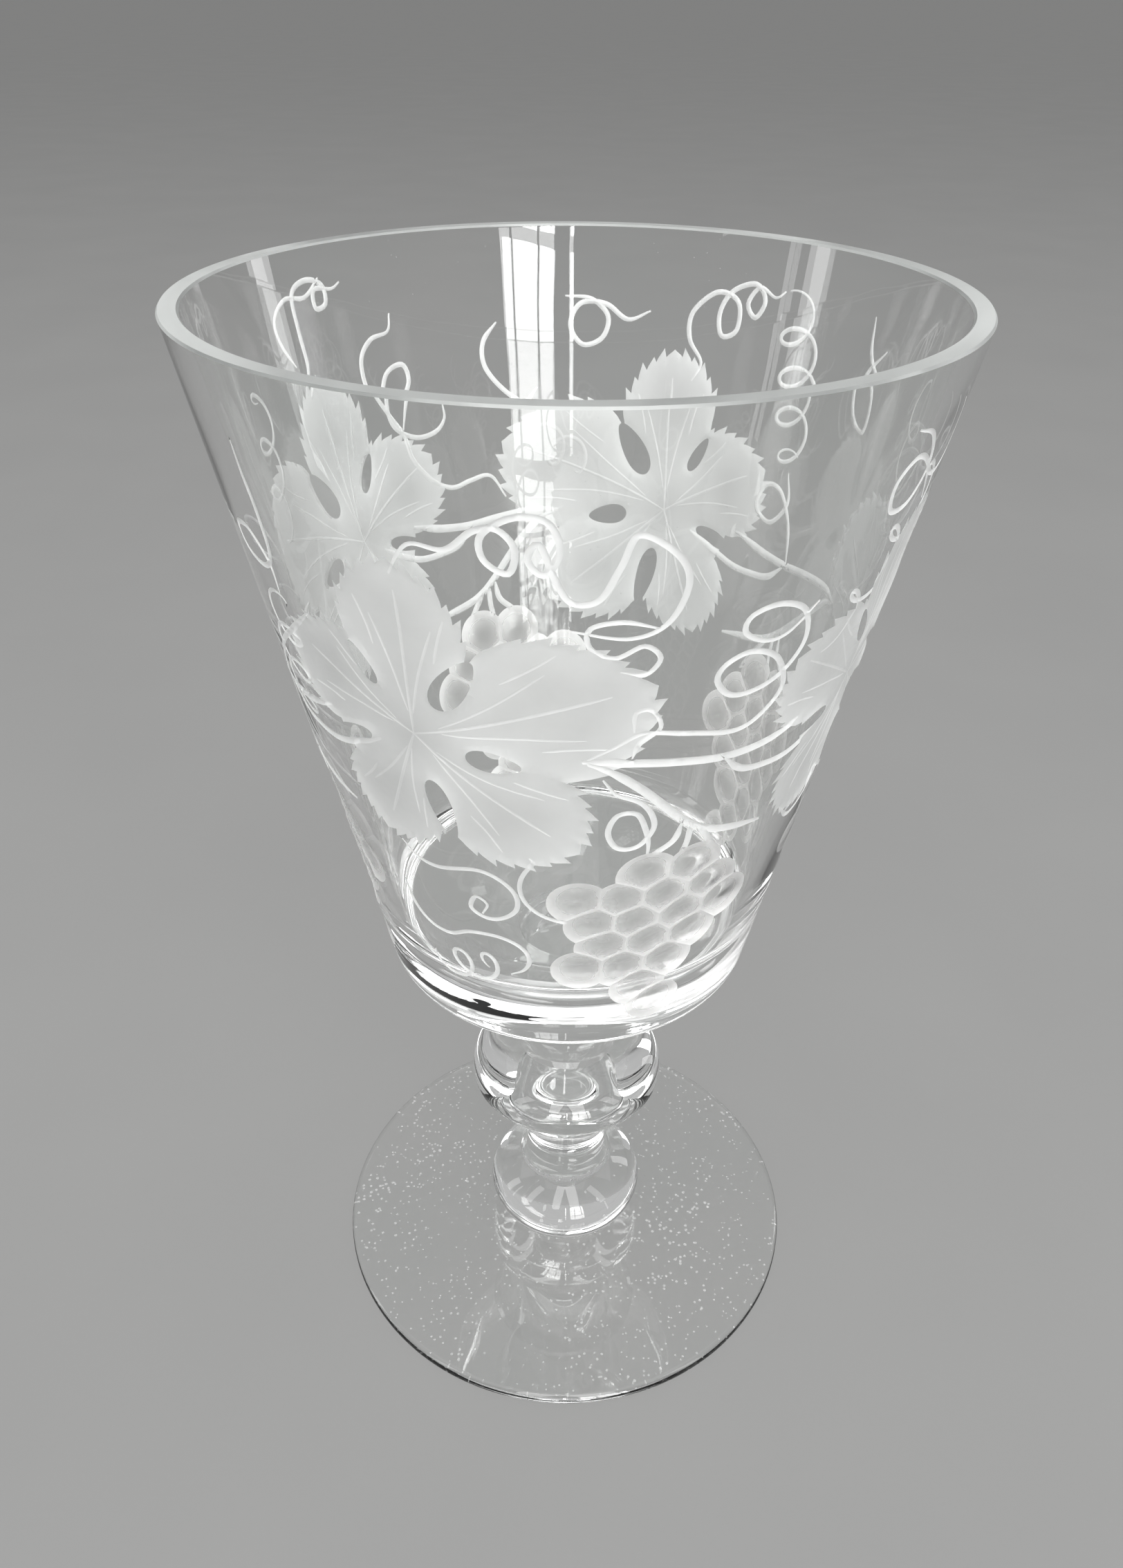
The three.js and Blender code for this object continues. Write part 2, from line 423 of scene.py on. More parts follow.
def front_tendrils():
    """Tendrils on the front of the bowl, between its first and second leaf."""
    return [
        tendril([
            (-88, 183), (-83, 186), (-78, 189), (-71, 188), (-62, 186.5), (-57, 189.5), (-55, 194),
            (-58, 200), (-63, 202.5), (-67, 201), (-68, 198), (-65, 194.5), (-60, 194.5), (-55.5, 197),
            (-53, 202), (-55, 208), (-60, 210.5), (-64.5, 209.5), (-65, 206.5), (-61, 204),
            (-57, 204.5), (-52.5, 209),
        ]),
        tendril([(-80, 184), (-79, 187), (-76, 190), (-77.5, 193.5), (-80, 193), (-80, 189)], 0.8),
        tendril([
            (-84.5, 179.5), (-82, 176), (-78, 174), (-75.5, 171), (-74.5, 167), (-77, 163), (-81, 163),
            (-83, 167), (-81.5, 171), (-78, 171), (-76, 167), (-75, 163), (-75, 159),
        ]),
        tendril([
            (-115, 216), (-111, 222), (-106, 222), (-102, 225.5), (-99, 226), (-97, 223), (-98, 219),
            (-101, 221), (-101, 225), (-97, 228), (-93, 227.5), (-91.5, 223), (-93.5, 219),
            (-95.5, 221.5), (-94, 224), (-92, 218), (-90, 214.5), (-86.5, 215), (-84, 220.5),
            (-82, 225.5), (-77, 222), (-75, 217), (-77, 210.5), (-82, 208), (-90, 209.5),
        ]),
        tendril([
            (-78, 209.5), (-83, 211), (-87.5, 210), (-87.5, 206.5), (-84, 204.5), (-80, 206.5),
            (-77.5, 204), (-79.5, 201), (-83, 201.5),
        ], 0.9),
        tendril([
            (-126, 157), (-123, 154), (-118, 153), (-109, 155), (-104, 153.5), (-101, 150),
            (-101, 146), (-104, 143), (-108, 142), (-111.5, 144), (-110, 147.5), (-107.5, 146),
            (-109, 143),
        ], 1.0),
        tendril([
            (-129, 145), (-128, 139), (-124.5, 135), (-119, 134), (-113, 136.5), (-106, 137),
            (-101, 135), (-99, 131.5), (-100.5, 128), (-104, 126),
        ], 1.0),
        corkscrew((-123, 124), (-107, 128), 4.2, 2.2, phase=120),
        corkscrew((-100, 160), (-92, 140), 3.0, 1.2, phase=60, width=0.9),
    ]


def side_tendrils():
    """Tendrils on the left and right of the bowl, seen edge-on from the front."""
    return [
        tendril([
            (-139.5, 231), (-139.5, 226), (-139, 220), (-139.5, 212), (-143, 208.5), (-149, 209.5),
            (-150, 213.5), (-145, 214.5), (-141, 210), (-141, 204),
        ]),
        corkscrew((-143, 203), (-148, 176), 4.6, 3.5, phase=90),
        tendril([(-134, 203), (-140, 198), (-150, 190), (-156, 180), (-157, 170), (-152, 165)], 1.2),
        tendril([
            (-30, 219), (-34, 226), (-39, 229), (-43, 226), (-42, 221), (-37, 221), (-34, 226),
            (-37, 232), (-42, 234),
        ]),
        corkscrew((-46, 199), (-25, 232), 4.4, 3.6, phase=200),
        corkscrew((-14, 205), (-4, 228), 4.6, 3.2, phase=40),
        tendril([(-42, 160), (-37, 156), (-31, 158), (-28, 163), (-22, 160), (-19, 153)]),
    ]


def back_tendrils():
    """Tendrils on the back of the bowl, seen through its front."""
    return [
        tendril([
            (152, 216), (149.5, 221), (149.5, 228), (149, 235), (145, 237), (141.5, 235.5),
            (141.5, 232), (144, 231.5), (143.5, 235), (139.5, 234.5), (137.5, 235.5),
        ]),
        tendril([(152.5, 222), (155, 227), (155, 231.5), (151, 234.5), (146, 234), (142, 237)], 0.9),
        tendril([
            (128, 228), (129, 224.5), (133, 223.5), (136, 220), (136, 214), (133, 208), (130, 203),
            (129, 198), (125, 192.5), (120, 190), (115, 191), (110, 191.5), (106.5, 186.5),
        ]),
        tendril([
            (119.5, 208), (119.5, 205), (122, 202.5), (127, 202), (132, 205), (133, 210), (131, 216),
            (127, 217.5), (126, 214), (128, 210), (130, 204),
        ]),
        tendril([(106, 224), (109, 220), (109, 215), (105.5, 210), (101, 207), (98, 210)]),
        tendril([
            (92, 229), (87, 228.5), (83.5, 225), (84.5, 220.5), (88.5, 219), (91, 223), (89, 227.5),
            (84, 227.5), (79.5, 224.5), (75, 226.5),
        ]),
        tendril([
            (65, 213), (63.5, 217), (66.5, 221.5), (66.5, 227), (62, 231.5), (57.5, 230), (57, 224.5),
            (60, 223), (61, 227.5), (59, 232), (54.5, 234), (52, 231), (53.5, 227.5), (55.5, 230),
            (53.5, 233.5), (50, 232), (48, 233.5),
        ]),
        corkscrew((45, 232), (36, 200), 5.0, 4.2, phase=150),
        tendril([
            (36, 199), (34, 193), (38, 188), (43, 190), (42, 195), (37, 195), (32, 189), (29, 181),
        ]),
        corkscrew((100, 200), (88, 194), 4.0, 2.2, phase=30),
        corkscrew((170, 222), (178, 196), 4.4, 3.2, phase=10),
        tendril([(20, 228), (24, 222), (22, 215), (17, 213), (18, 220), (24, 226), (26, 233)]),
    ]


def decoration():
    """All that is cut into the wall: leaf outlines and gaps, lines, and the middles of grapes."""
    outlines, gaps, grapes = [], [], []
    lines = front_tendrils() + side_tendrils() + back_tendrils()
    following = LEAF_ANGLES[1:] + (LEAF_ANGLES[0] + 360,)
    for here, after in zip(LEAF_ANGLES, following):
        lobes, holes, veins = leaf(here, LEAF_HEIGHT)
        outlines += lobes
        gaps += holes
        lines += veins + vines(here, after)
        grapes += bunch(here + BUNCH_TURN * (after - here) / SPRAY_TURN, BUNCH_TOP)
    outlines = [copy for outline in outlines for copy in repeats(outline)]
    gaps = [copy for gap in gaps for copy in repeats(gap)]
    lines = [{"line": copy, "half": one["half"]} for one in lines for copy in repeats(one["line"])]
    grapes = [copy.mean(0) for grape in grapes for copy in repeats(ring(grape, GRAPE_RADIUS, 12))]
    return outlines, gaps, lines, grapes


# ------------ cutting the engraving into the wall
# What a face of the bowl is, in the order of the bowl's materials.
CLEAR, LEAF, LINE, GRAPE, SEAM, RIM = range(6)
# A cut is smooth inside its group: all leaves, all lines, and from here on each grape.
FIRST_GRAPE_GROUP = 10
ROW_STEP = 2.0  # height between the wall's rows of points
LEAF_STEP = 1.1  # grid inside a leaf
KEEP_CLEAR = 0.45  # grid points this close to a cut's edge are left out
# Rings of points inside a grape: share of its radius, and how many points.
GRAPE_RINGS = ((0.78, 24), (0.5, 16), (0.2, 6))
TOUCHING = 1.8  # grapes closer than so many radii have a ridge between them
SAME_POINT = 1e-4  # points closer than this are one point of the wall


def inside(points, outline):
    """Which points lie inside a closed outline."""
    found = np.zeros(len(points), bool)
    x, y = points[:, 0], points[:, 1]
    for (x0, y0), (x1, y1) in zip(outline, np.roll(outline, -1, axis=0)):
        crosses = (y0 > y) != (y1 > y)
        if crosses.any():
            found ^= crosses & (x < x0 + (x1 - x0) * (y - y0) / (y1 - y0 + 1e-12))
    return found


def border_distance(points, outline):
    """Distance from each point to a closed outline."""
    least = np.full(len(points), np.inf)
    for a, b in zip(outline, np.roll(outline, -1, axis=0)):
        span = b - a
        s = np.clip(((points - a) @ span) / (span @ span), 0, 1)
        least = np.minimum(least, np.hypot(*(points - a - s[:, None] * span).T))
    return least


def edge_distance(points, outlines, gaps):
    """How far each point lies inside a leaf's edge and outside its gaps; 0 where there is no leaf."""
    deepest = np.zeros(len(points))
    for outline in outlines:
        within = np.flatnonzero(inside(points, outline))
        deepest[within] = np.maximum(deepest[within], border_distance(points[within], outline))
    for gap in gaps:
        leafy = np.flatnonzero(deepest > 0)
        clear_by = border_distance(points[leafy], gap) * ~inside(points[leafy], gap)
        deepest[leafy] = np.minimum(deepest[leafy], clear_by)
    return deepest


def lookup(samples):
    """A quick way to find the nearest of many flat points."""
    tree = KDTree(len(samples))
    for index, (x, y) in enumerate(samples):
        tree.insert((x, y, 0), index)
    tree.balance()
    return tree


def nearest(tree, points):
    """Index of, and distance to, the nearest sample for each point."""
    found = [tree.find((x, y, 0)) for x, y in points]
    return np.array([f[1] for f in found]), np.array([f[2] for f in found])


def ridge_distance(tree, points):
    """How much nearer each point is to its nearest sample than to the next one."""
    pairs = [tree.find_n((x, y, 0), 2) for x, y in points]
    return np.array([second[2] - first[2] for first, second in pairs])


def cut_lines(lines):
    """Closely spaced samples of every engraved line, and half its width at each."""
    places, halves = [], []
    for one in lines:
        line, half = one["line"], one["half"]
        for a, b, ha, hb in zip(line, line[1:], half, half[1:]):
            for s in (0, 0.25, 0.5, 0.75):
                places.append(a + (b - a) * s)
                halves.append(ha + (hb - ha) * s)
    return np.array(places), np.array(halves)


class Pattern:
    """Points and fixed edges that the wall's triangles have to follow."""

    def __init__(self):
        self.points, self.edges = [], []

    def add(self, line, closed=False):
        first = len(self.points)
        self.points += [tuple(p) for p in line]
        count = len(line)
        steps = count if closed else count - 1
        self.edges += [(first + k, first + (k + 1) % count) for k in range(steps)]


def wall_edge():
    """The flat pattern's own outline, with a point at every column and row, and a grid inside it."""
    rows = np.linspace(WALL_LOW, WALL_HIGH, int((WALL_HIGH - WALL_LOW) / ROW_STEP) + 1)

    def at(k, height):
        return unrolled((2 * math.pi * k / COLUMNS - math.pi) * CONE_SINE, height)

    low_edge = [at(k, rows[0]) for k in range(COLUMNS + 1)]
    high_edge = [at(k, rows[-1]) for k in range(COLUMNS + 1)]
    right = [at(COLUMNS, h) for h in rows[1:-1]]
    left = [at(0, h) for h in rows[1:-1]]
    outline = np.array(low_edge + right + high_edge[::-1] + left[::-1])
    grid = []
    for j, height in enumerate(rows[1:-1]):
        grid += [at(k + 0.5 * (j % 2), height) for k in range(1, COLUMNS - 1)]
    return outline, np.array(grid)


def add_lines(pattern, lines):
    """The middle and both sides of every engraved line."""
    for one in lines:
        line, half = one["line"], one["half"]
        ahead = np.gradient(line, axis=0)
        ahead /= np.linalg.norm(ahead, axis=1)[:, None]
        side = np.column_stack([-ahead[:, 1], ahead[:, 0]]) * half[:, None]
        pattern.add(line)
        pattern.add(np.vstack([line + side, (line - side)[::-1]]), closed=True)


def add_grapes(pattern, grapes):
    """The grapes' rings, and the ridge between every two that overlap."""
    for middle in grapes:
        pattern.add(ring(middle, GRAPE_RADIUS, 40), closed=True)
        for share, count in GRAPE_RINGS:
            pattern.points += [tuple(p) for p in ring(middle, GRAPE_RADIUS * share, count)]
    for k, a in enumerate(grapes):
        for b in grapes[k + 1:]:
            gap = np.linalg.norm(b - a)
            if gap < TOUCHING * GRAPE_RADIUS:
                across = np.array([a[1] - b[1], b[0] - a[0]]) / gap
                reach_out = math.sqrt(GRAPE_RADIUS ** 2 - gap ** 2 / 4) * 0.98
                pattern.add([(a + b) / 2 + across * reach_out * s for s in (-1, 0, 1)])


def leaf_grid(outlines):
    """Closely spaced points inside the leaves, for their hollows."""
    fine = []
    for outline in outlines:
        low_corner, high_corner = outline.min(0), outline.max(0)
        xs = np.arange(low_corner[0], high_corner[0], LEAF_STEP)
        ys = np.arange(low_corner[1], high_corner[1], LEAF_STEP)
        grid = np.array([(x + LEAF_STEP / 2 * (j % 2), y) for j, y in enumerate(ys) for x in xs])
        fine.append(grid[inside(grid, outline)])
    return np.vstack(fine)


def wall_triangles(outlines, gaps, lines, grapes):
    """The engraved wall in the flat pattern: its points and its triangles."""
    pattern = Pattern()
    edge, grid = wall_edge()
    pattern.add(edge, closed=True)
    for outline in outlines + gaps:
        pattern.add(outline, closed=True)
    add_lines(pattern, lines)
    add_grapes(pattern, grapes)
    for extra in (leaf_grid(outlines), grid):
        distance = nearest(lookup(pattern.points), extra)[1]
        pattern.points += [tuple(p) for p in extra[distance > KEEP_CLEAR]]
    points, _, faces, *_ = delaunay_2d_cdt(
        [Vector(p) for p in pattern.points], pattern.edges, [], 0, SAME_POINT, False)
    points = np.array([tuple(p) for p in points])
    faces = np.array([tuple(f) for f in faces if len(f) == 3])
    return points, faces[inside(points[faces].mean(1), edge)]


def engraved_wall():
    """The bowl's wall.

    Gives the places and the wall's normals there, the triangles with their kinds and smoothing
    groups, and for each place its share of the way out of a cut and its distance to a leaf's edge.
    """
    outlines, gaps, lines, grapes = decoration()
    points, faces = wall_triangles(outlines, gaps, lines, grapes)
    middles = points[faces].mean(1)
    samples, halves = cut_lines(lines)
    line_tree, grape_tree = lookup(samples), lookup(grapes)

    def line_share(p):
        index, distance = nearest(line_tree, p)
        return distance / halves[index], halves[index]

    kinds = np.full(len(faces), CLEAR)
    groups = np.full(len(faces), CLEAR)
    leafy = edge_distance(middles, outlines, gaps) > 0
    kinds[leafy] = LEAF
    groups[leafy] = LEAF
    grape_index, grape_distance = nearest(grape_tree, middles)
    in_grape = grape_distance < GRAPE_RADIUS * 0.995
    kinds[in_grape] = GRAPE
    groups[in_grape] = FIRST_GRAPE_GROUP + grape_index[in_grape]
    on_line = (line_share(middles)[0] < 1) & ~in_grape
    kinds[on_line] = LINE
    groups[on_line] = LINE

    border = edge_distance(points, outlines, gaps)
    hollow = LEAF_HOLLOW * (1 - np.exp(-border / HOLLOW_WIDTH))
    leaf_depth = LEAF_DEPTH * np.clip(border / LEAF_BEVEL, 0, 1) + hollow
    share, half = line_share(points)
    line_depth = np.where(share < 1, LINE_DEPTH * 2 * half * (1 - share ** 2), 0)
    from_grape = nearest(grape_tree, points)[1] / GRAPE_RADIUS
    ridge = 1 - 2 * ridge_distance(grape_tree, points) / GRAPE_RADIUS
    grape_depth = GRAPE_DEPTH * np.clip(1 - from_grape ** 2, 0, 1)
    veined_depth = leaf_depth + VEIN_DEPTH * line_depth * (leaf_depth > 0)
    depth = np.maximum(np.maximum(veined_depth, line_depth), grape_depth)
    places, normals = rolled(points, depth)
    share = np.where(from_grape < 1, np.maximum(from_grape, ridge), share)
    return places, normals, faces, kinds, groups, share, border


def group_normals(places, faces, groups, clear_normals):
    """A normal for each triangle corner: the wall's own on clear glass, and smooth inside each cut."""
    corners = places[faces]
    flat_normals = np.cross(corners[:, 1] - corners[:, 0], corners[:, 2] - corners[:, 0])
    keys = (faces + groups[:, None] * len(places)).ravel()
    unique, where = np.unique(keys, return_inverse=True)
    total = np.zeros((len(unique), 3))
    np.add.at(total, where, np.repeat(flat_normals, 3, axis=0))
    total /= np.maximum(np.linalg.norm(total, axis=1), 1e-12)[:, None]
    result = total[where].reshape(-1, 3, 3)
    clear = groups == CLEAR
    result[clear] = clear_normals[faces[clear]]
    return result


# ------------ meshes
SHARP = math.cos(math.radians(30))
WELD_GAP = 0.02  # places closer than this are joined; the cut's two sides nearly meet
ON_AXIS = 1e-9  # a ring of this radius is a single place


def turned(outline, start_angle=0, skip=()):
    """An outline turned round the axis: places, faces, each face's strip, and corner normals."""
    angles = np.radians(start_angle + 360 * np.arange(COLUMNS) / COLUMNS)
    circle = np.column_stack([np.cos(angles), np.sin(angles)])
    rings = np.array(outline, float)
    along = np.diff(rings, axis=0)
    strip_normals = np.column_stack([along[:, 1], -along[:, 0]])
    strip_normals /= np.linalg.norm(strip_normals, axis=1)[:, None]
    places, first = [], []
    for radius, height in rings:
        first.append(len(places))
        if radius < ON_AXIS:
            places.append((0, 0, height))
        else:
            places += [(radius * c, radius * s, height) for c, s in circle]

    def corner_normal(strip, ring_index, column):
        other = ring_index - 1 if ring_index == strip else ring_index
        normal = strip_normals[strip]
        if 0 <= other < len(strip_normals) and normal @ strip_normals[other] > SHARP:
            normal = normal + strip_normals[other]
        c, s = circle[column % COLUMNS]
        normal = np.array([normal[0] * c, normal[0] * s, normal[1]])
        return normal / np.linalg.norm(normal)

    faces, strips, normals = [], [], []
    for strip in range(len(rings) - 1):
        if strip in skip:
            continue
        for k in range(COLUMNS):
            corners = [(strip, k), (strip, k + 1), (strip + 1, k + 1), (strip + 1, k)]
            if rings[strip][0] < ON_AXIS:
                corners = [(strip, k), (strip + 1, k + 1), (strip + 1, k)]
            elif rings[strip + 1][0] < ON_AXIS:
                corners = [(strip, k), (strip, k + 1), (strip + 1, k)]
            faces.append([first[r] + (0 if rings[r][0] < ON_AXIS else c % COLUMNS) for r, c in corners])
            strips.append(strip)
            normals += [corner_normal(strip, r, c) for r, c in corners]
    return places, faces, strips, normals


def glass_piece(node, places, faces, kinds, normals, materials):
    """A mesh object in metres that stands for a CAD node and rides with the goblet."""
    mesh = bpy.data.meshes.new(node + "_glass")
    mesh.from_pydata((np.array(places) * MM).tolist(), [], [list(map(int, f)) for f in faces])
    for material in materials:
        mesh.materials.append(material)
    mesh.polygons.foreach_set("material_index", np.array(kinds, np.int32))
    mesh.polygons.foreach_set("use_smooth", np.ones(len(mesh.polygons), bool))
    mesh.normals_split_custom_set([tuple(n) for n in normals])
    mesh.update()
    piece = bpy.data.objects.new(node + "_glass", mesh)
    bpy.context.scene.collection.objects.link(piece)
    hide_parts(node)
    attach(piece, "root")
    bpy.data.collections["goblet"].objects.link(piece)
    return piece


def plain_piece(node, outline, seams, glass):
    """A piece of the stem or the foot; seams says which ends are fused to its neighbours."""
    places, faces, strips, normals = turned(outline)
    last = len(outline) - 2
    fused = {0 if end == "low" else last for end in seams}
    kinds = [1 if strip in fused else 0 for strip in strips]
    glass_piece(node, places, faces, kinds, normals, [glass, fused_seam])


def welded(places, first_loose):
    """Which places to keep, and each place's new index, once loose ones are joined to their twins."""
    tree = KDTree(len(places))
    for index, place in enumerate(places):
        tree.insert(place, index)
    tree.balance()
    same = np.arange(len(places))
    for index in range(first_loose, len(places)):
        same[index] = min(found[1] for found in tree.find_range(places[index], WELD_GAP))
    kept, where = np.unique(same, return_inverse=True)
    return kept, where.ravel()


def bowl_piece():
    """The bowl: turned underside, rim and inside, round the engraved wall."""
    under = bowl_underside()
    inside_outline = bowl_inside()
    rim_inner = RIM_RADIUS - RIM_THICKNESS
    rim = [(wall_radius(WALL_HIGH), WALL_HIGH), (RIM_RADIUS - RIM_CHAMFER, HEIGHT),
           (rim_inner + RIM_CHAMFER, HEIGHT)]
    outline = [(0, under[0][1]), *under, *rim, *inside_outline]
    wall = len(under)
    places, faces, strips, normals = turned(outline, CUT_ANGLE, skip=(wall,))
    kind_of_strip = {0: SEAM, wall + 1: RIM, wall + 2: RIM, wall + 3: RIM}
    kinds = [kind_of_strip.get(strip, CLEAR) for strip in strips]
    cut_places, cut_normals, cut_faces, cut_kinds, groups, share, border = engraved_wall()
    corner_normals = group_normals(cut_places, cut_faces, groups, cut_normals)
    all_places = np.vstack([places, cut_places])
    kept, where = welded(all_places, len(places))
    first_corners = np.cumsum([len(f) for f in faces])[:-1]
    loops = [*np.split(np.array(normals), first_corners), *corner_normals]
    kinds += list(cut_kinds)
    faces = [[where[i] for i in f] for f in [*faces, *(cut_faces + len(places))]]
    whole = [k for k, f in enumerate(faces) if len(set(f)) == len(f)]
    piece = glass_piece(
        "bowl", all_places[kept], [faces[k] for k in whole], [kinds[k] for k in whole],
        np.vstack([loops[k] for k in whole]),
        [crystal, engraved_leaf, engraved_line, engraved_grape, fused_seam, ground_rim])
    for name, values in (("cut_share", np.clip(share, 0, 1)), ("cut_border", border)):
        full = np.concatenate([np.ones(len(places)), values])[kept]
        attribute = piece.data.attributes.new(name, "FLOAT", "POINT")
        attribute.data.foreach_set("value", full.astype(np.float32))


# ------------ materials
class Nodes:
    """A new node material with a Principled shader, and short ways to add to it."""

    def __init__(self, name):
        self.material = bpy.data.materials.new(name)
        self.material.use_nodes = True
        self.tree = self.material.node_tree
        self.shader = self.tree.nodes["Principled BSDF"]
        self.output = self.tree.nodes["Material Output"]
        self.place = self.tree.nodes.new("ShaderNodeTexCoord").outputs["Object"]

    def fill(self, node, inputs):
        for key, value in inputs.items():
            socket = node.inputs[key.replace("_", " ")]
            if isinstance(value, bpy.types.NodeSocket):
                self.tree.links.new(value, socket)
            else:
                socket.default_value = value

    def node(self, kind, **inputs):
        made = self.tree.nodes.new(kind)
        self.fill(made, inputs)
        return made

    def combine(self, operation, first, second):
        made = self.tree.nodes.new("ShaderNodeMath")
        made.operation = operation
        self.tree.links.new(first, made.inputs[0])
        self.tree.links.new(second, made.inputs[1])
        return made.outputs["Value"]

    def attribute(self, name):
        made = self.tree.nodes.new("ShaderNodeAttribute")
        made.attribute_name = name
        return made.outputs["Fac"]

    def noise(self, scale, detail=3.0, stretch=None):
        place = self.place
        if stretch:
            place = self.node("ShaderNodeMapping", Vector=place, Scale=stretch).outputs["Vector"]
        return self.node("ShaderNodeTexNoise", Vector=place, Scale=scale, Detail=detail).outputs["Fac"]

    def spread(self, value, low_in, high_in, low_out, high_out):
        return self.node("ShaderNodeMapRange", Value=value, From_Min=low_in, From_Max=high_in,
                         To_Min=low_out, To_Max=high_out).outputs["Result"]

    def ramp(self, value, *stops):
        made = self.node("ShaderNodeValToRGB", Fac=value)
        elements = made.color_ramp.elements
        while len(elements) < len(stops):
            elements.new(0.5)
        for element, (at, colour) in zip(elements, stops):
            element.position = at
            element.color = (*colour, 1)
        return made.outputs["Color"]

    def bump(self, height, strength, distance):
        made = self.node("ShaderNodeBump", Height=height, Strength=strength, Distance=distance)
        self.tree.links.new(made.outputs["Normal"], self.shader.inputs["Normal"])

    def set(self, **inputs):
        self.fill(self.shader, inputs)

    def light_shadow(self, tone):
        """Lets light through onto what lies behind, as real glass does, with a share kept back."""
        path = self.tree.nodes.new("ShaderNodeLightPath")
        either = self.combine("MAXIMUM", path.outputs["Is Shadow Ray"], path.outputs["Is Diffuse Ray"])
        through = self.node("ShaderNodeBsdfTransparent", Color=(tone, tone, tone, 1))
        mix = self.node("ShaderNodeMixShader", Fac=either)
        self.tree.links.new(self.shader.outputs["BSDF"], mix.inputs[1])
        self.tree.links.new(through.outputs["BSDF"], mix.inputs[2])
        self.tree.links.new(mix.outputs["Shader"], self.output.inputs["Surface"])


GLASS_IOR = 1.54  # lead crystal
SPECK_SCALE = 520.0  # specks of dust to a metre, about 2 mm apart


def make_crystal(name, dust):
    """Clear polished crystal, with the faint waviness of hand-worked glass and specks of dust.

    The dust is a speck's largest size, as a share of the specks' spacing.
    """
    m = Nodes(name)
    cells = m.node("ShaderNodeTexVoronoi", Vector=m.place, Scale=SPECK_SCALE).outputs["Distance"]
    sizes = m.spread(m.noise(45, 4), 0.3, 0.7, 0.25 * dust, dust)
    specks = m.combine("LESS_THAN", cells, sizes)
    m.set(IOR=GLASS_IOR)
    m.set(Transmission_Weight=m.spread(specks, 0, 1, 1.0, 0.78))
    m.set(Base_Color=m.ramp(m.noise(18), (0.3, (0.975, 0.99, 0.983)), (0.7, (1.0, 1.0, 0.995))))
    m.set(Roughness=m.spread(m.noise(90, 4), 0.45, 0.75, 0.0, 0.025))
    m.bump(m.noise(45, 1, (1, 1, 0.5)), 0.25, 0.0006)
    m.light_shadow(0.96)
    return m.material


def make_engraved(name, transmission, roughness, tone):
    """Glass matted by the engraver's wheel: a fine grain that scatters light and looks white."""
    m = Nodes(name)
    grain = m.noise(900, 2)
    soft = m.noise(70, 4)
    border = m.attribute("cut_border")
    clearer = m.spread(border, 0.0, 9.0, transmission - 0.08, transmission + 0.1)
    m.set(IOR=GLASS_IOR)
    m.set(Transmission_Weight=clearer)
    m.set(Base_Color=m.ramp(soft, (0.3, tuple(t * 0.88 for t in tone)), (0.7, tone)))
    m.set(Roughness=m.spread(grain, 0.3, 0.7, roughness - 0.06, roughness + 0.06))
    m.bump(grain, 0.15, 0.00004)
    m.light_shadow(0.85)
    return m.material


def make_grape():
    """Round cuts: matt towards their edge, half polished in the middle."""
    m = Nodes("engraved_grape")
    soft = m.noise(160, 3)
    edge = m.spread(m.attribute("cut_share"), 0.2, 1.0, 0.0, 1.0)
    clearness = m.ramp(edge, (0.0, (0.88, 0.88, 0.88)), (0.5, (0.76, 0.76, 0.76)), (1.0, (0.5, 0.5, 0.5)))
    m.set(IOR=GLASS_IOR)
    m.set(Transmission_Weight=clearness)
    m.set(Base_Color=m.ramp(soft, (0.3, (0.88, 0.88, 0.87)), (0.7, (0.93, 0.93, 0.92))))
    m.set(Roughness=m.spread(edge, 0.0, 1.0, 0.1, 0.38))
    m.bump(soft, 0.1, 0.0001)
    m.light_shadow(0.9)
    return m.material


def make_rim():
    """The rim, ground flat and then rubbed to a satin finish."""
    m = Nodes("ground_rim")
    soft = m.noise(240, 3)
    m.set(IOR=GLASS_IOR)
    m.set(Transmission_Weight=m.spread(soft, 0.3, 0.7, 0.74, 0.82))
    m.set(Base_Color=m.ramp(soft, (0.3, (0.8, 0.83, 0.81)), (0.7, (0.85, 0.88, 0.86))))
    m.set(Roughness=m.spread(soft, 0.3, 0.7, 0.29, 0.36))
    m.light_shadow(0.9)
    return m.material


def make_seam():
    """Where two pieces are fused there is no surface left, only the faintest cords in the glass."""
    m = Nodes("fused_seam")
    colour = m.ramp(m.noise(150), (0.3, (0.985, 0.985, 0.985)), (0.7, (1, 1, 1)))
    through = m.node("ShaderNodeBsdfTransparent", Color=colour)
    m.tree.links.new(through.outputs["BSDF"], m.output.inputs["Surface"])
    m.tree.nodes.remove(m.shader)
    return m.material


def make_floor():
    """Pale paper with a fine fibre."""
    m = Nodes("pale_paper")
    fibre = m.noise(700, 5)
    m.set(Base_Color=m.ramp(m.noise(9, 5), (0.3, (0.395, 0.395, 0.391)), (0.7, (0.41, 0.41, 0.405))))
    m.set(Roughness=m.spread(fibre, 0.3, 0.7, 0.7, 0.85))
    m.set(Specular_IOR_Level=0.25)
    m.bump(fibre, 0.12, 0.0001)
    return m.material


crystal = make_crystal("clear_crystal", 0.06)
foot_crystal = make_crystal("dusty_crystal", 0.24)
engraved_leaf = make_engraved("engraved_leaf", 0.55, 0.5, (0.8, 0.81, 0.8))
engraved_line = make_engraved("engraved_line", 0.5, 0.45, (0.9, 0.91, 0.9))
engraved_grape = make_grape()
fused_seam = make_seam()
ground_rim = make_rim()


